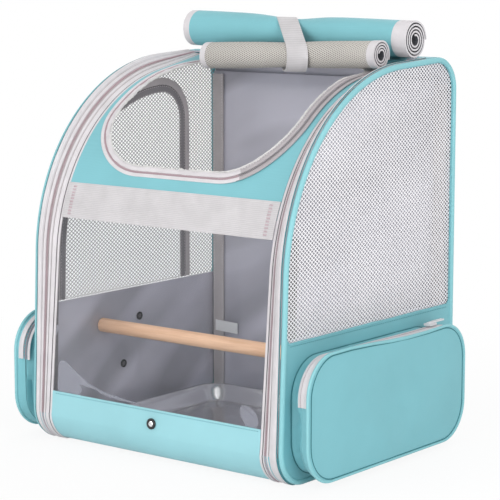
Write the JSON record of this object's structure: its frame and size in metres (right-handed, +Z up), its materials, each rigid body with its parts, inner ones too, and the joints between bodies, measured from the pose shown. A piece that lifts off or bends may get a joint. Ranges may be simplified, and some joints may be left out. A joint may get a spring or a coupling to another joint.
{
  "type": "bird travel carrier",
  "caption": "Backpack-style soft bird carrier with a folding clear front door, mesh sides, side pockets, perch, steel tray and rolled curtains on top.",
  "frame": {"origin": "middle of the flat bottom, on the surface that the carrier stands on", "axes": "+Z up, -Y out of the front window, +Y out of the back with the straps, +X to the carrier's side without the mesh door"},
  "size_m": [0.382, 0.3129, 0.4414],
  "materials": {
    "teal_cloth": "matte woven polyester",
    "pale_tape": "woven tape",
    "pale_webbing": "fine ribbed webbing",
    "pale_mesh": "open knitted mesh",
    "grey_lining": "satin nylon lining",
    "grey_tape": "woven tape",
    "clear_film": "clear flexible film",
    "grey_webbing": "woven nylon",
    "black_plastic": "moulded, satin",
    "board": "pressed board in a sleeve",
    "spring_steel": "drawn wire",
    "stainless": "pressed, bright satin",
    "dark_metal": "black enamel",
    "zip_metal": "pale grey enamel",
    "beech": "turned and sanded",
    "label_cloth": "plain woven label"
  },
  "bodies": {
    "shell": {"bottom_panel": "teal_cloth", "base_board": "board", "back_panel": "teal_cloth", "back_lining": "grey_lining", "top_rear_panel": "teal_cloth", "blank_label": "label_cloth", "mesh_door_frame_tape": "grey_tape", "perch": "beech", "handle_anchors": "grey_webbing", "side_panel_left": "teal_cloth", "side_panel_right": "teal_cloth", "side_mesh_left": "pale_mesh", "side_mesh_right": "pale_mesh", "side_lining_left": "grey_lining", "side_lining_right": "grey_lining", "eyelets_left": "dark_metal", "eyelets_right": "dark_metal", "edge_piping_left": "teal_cloth", "edge_piping_right": "teal_cloth", "frame_wire_left": "spring_steel", "frame_wire_right": "spring_steel", "shell_zip_tape_left": "pale_tape", "shell_zip_tape_right": "pale_tape", "corner_tape_left": "grey_tape", "corner_tape_right": "grey_tape", "pocket_body_left": "teal_cloth", "pocket_body_right": "teal_cloth", "strap_yoke_left": "grey_webbing", "strap_yoke_right": "grey_webbing", "strap_anchor_left": "grey_webbing", "strap_anchor_right": "grey_webbing"},
    "front_door": {"door_band": "teal_cloth", "press_stud": "dark_metal", "clear_window": "clear_film", "crossband": "pale_webbing", "upper_panel": "teal_cloth", "opening_binding": "pale_tape", "cover_roll": "teal_cloth", "mesh_roll": "pale_mesh", "tie_strap": "pale_webbing", "door_zip_tape_left": "pale_tape", "door_zip_tape_right": "pale_tape"},
    "mesh_door": {"mesh_door": "pale_mesh", "mesh_door_tape": "grey_tape"},
    "mesh_door_slider": {"mesh_door_slider": "zip_metal"},
    "tray": {"tray": "stainless"},
    "carry_handle": {"carry_handle": "grey_webbing"},
    "pocket_flap_left": {"pocket_flap_left": "teal_cloth"},
    "pocket_slider_left": {"pocket_slider_left": "zip_metal"},
    "perch_screw_left": {"perch_screw_left": "black_plastic"},
    "shoulder_strap_left": {"shoulder_strap_left": "grey_webbing", "strap_webbing_left": "grey_webbing", "strap_adjuster_left": "black_plastic"},
    "pocket_flap_right": {"pocket_flap_right": "teal_cloth"},
    "pocket_slider_right": {"pocket_slider_right": "zip_metal"},
    "perch_screw_right": {"perch_screw_right": "black_plastic"},
    "shoulder_strap_right": {"shoulder_strap_right": "grey_webbing", "strap_webbing_right": "grey_webbing", "strap_adjuster_right": "black_plastic"}
  },
  "joints": [
    {"name": "front_door_fold", "type": "hinge", "parent": "shell", "child": "front_door", "pos_m": [0, -0.1487, 0.03415], "axis": [1, 0, 0], "range_deg": [0, 90]},
    {"name": "mesh_door_swing", "type": "hinge", "parent": "shell", "child": "mesh_door", "pos_m": [-0.1593, 0, 0.14315], "axis": [0, -1, 0], "range_deg": [0, 90]},
    {"name": "mesh_door_slider_run", "type": "slide", "parent": "mesh_door", "child": "mesh_door_slider", "axis": [0, 0, 1], "range_m": [0, 0.13]},
    {"name": "tray_lift", "type": "slide", "parent": "shell", "child": "tray", "axis": [0, 0, 1], "range_m": [0, 0.065]},
    {"name": "carry_handle_swing", "type": "hinge", "parent": "shell", "child": "carry_handle", "pos_m": [0, 0.1578, 0.372], "axis": [1, 0, 0], "range_deg": [0, 165]},
    {"name": "pocket_flap_left_fold", "type": "hinge", "parent": "shell", "child": "pocket_flap_left", "pos_m": [-0.1912, 0, 0.08], "axis": [0, -1, 0], "range_deg": [0, 90]},
    {"name": "pocket_slider_left_run", "type": "slide", "parent": "pocket_flap_left", "child": "pocket_slider_left", "axis": [0, 1, 0], "range_m": [-0.15, 0]},
    {"name": "perch_screw_left_turn", "type": "hinge", "parent": "shell", "child": "perch_screw_left", "pos_m": [-0.165, -0.0473, 0.108], "axis": [-1, 0, 0], "continuous": true},
    {"name": "shoulder_strap_left_swing", "type": "hinge", "parent": "shell", "child": "shoulder_strap_left", "pos_m": [-0.082, 0.1502, 0.3454], "axis": [1, 0, 0], "range_deg": [0, 12]},
    {"name": "pocket_flap_right_fold", "type": "hinge", "parent": "shell", "child": "pocket_flap_right", "pos_m": [0.1912, 0, 0.08], "axis": [0, 1, 0], "range_deg": [0, 90]},
    {"name": "pocket_slider_right_run", "type": "slide", "parent": "pocket_flap_right", "child": "pocket_slider_right", "axis": [0, 1, 0], "range_m": [-0.15, 0]},
    {"name": "perch_screw_right_turn", "type": "hinge", "parent": "shell", "child": "perch_screw_right", "pos_m": [0.165, -0.0473, 0.108], "axis": [1, 0, 0], "continuous": true},
    {"name": "shoulder_strap_right_swing", "type": "hinge", "parent": "shell", "child": "shoulder_strap_right", "pos_m": [0.082, 0.1502, 0.3454], "axis": [1, 0, 0], "range_deg": [0, 12]}
  ]
}
